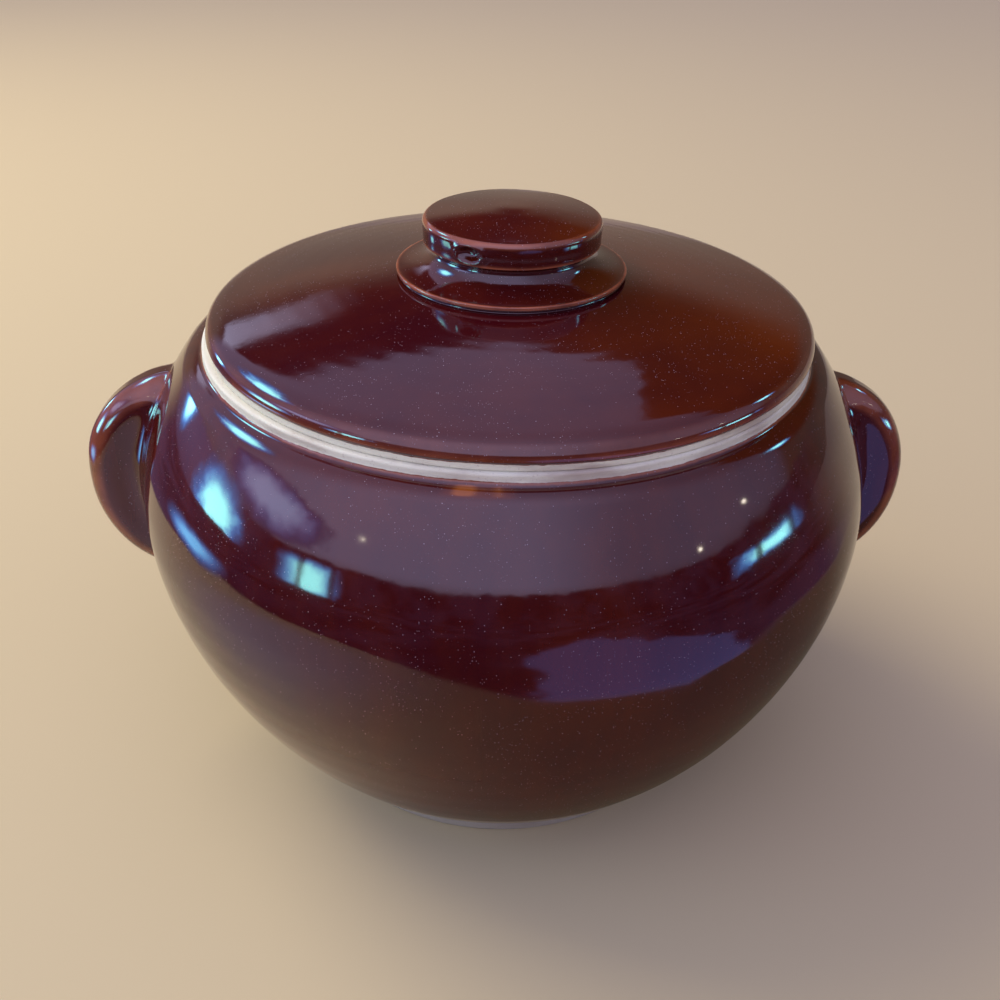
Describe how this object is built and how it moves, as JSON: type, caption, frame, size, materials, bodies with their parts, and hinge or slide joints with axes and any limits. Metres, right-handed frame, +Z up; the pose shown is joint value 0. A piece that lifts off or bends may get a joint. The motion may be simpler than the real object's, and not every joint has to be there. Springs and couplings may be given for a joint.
{
  "type": "stoneware bean pot",
  "caption": "Round-bellied glazed stoneware pot with solid ear lugs on its shoulders and a loose domed lid with a disc knob.",
  "frame": {"origin": "centre of the foot, on the surface that the pot stands on", "axes": "+Z up along the pot's axis, +X through the right lug, -Y towards the front"},
  "size_m": [0.236, 0.202, 0.1637],
  "materials": {
    "pot_glaze": "glossy dark red-brown glaze, with a bare cream clay rim and foot",
    "lug_glaze": "glossy dark red-brown glaze",
    "lid_glaze": "glossy dark red-brown glaze, with a bare cream clay edge where the lid rests",
    "knob_glaze": "glossy dark red-brown glaze, amber where it thins at the edges"
  },
  "bodies": {
    "pot_body": {"pot": "pot_glaze", "left_lug": "lug_glaze", "right_lug": "lug_glaze"},
    "lid_body": {"lid": "lid_glaze", "knob": "knob_glaze"}
  },
  "joints": [
    {"name": "lid_lift", "type": "slide", "parent": "pot_body", "child": "lid_body", "axis": [0, 0, 1], "range_m": [0, 0.1]}
  ]
}
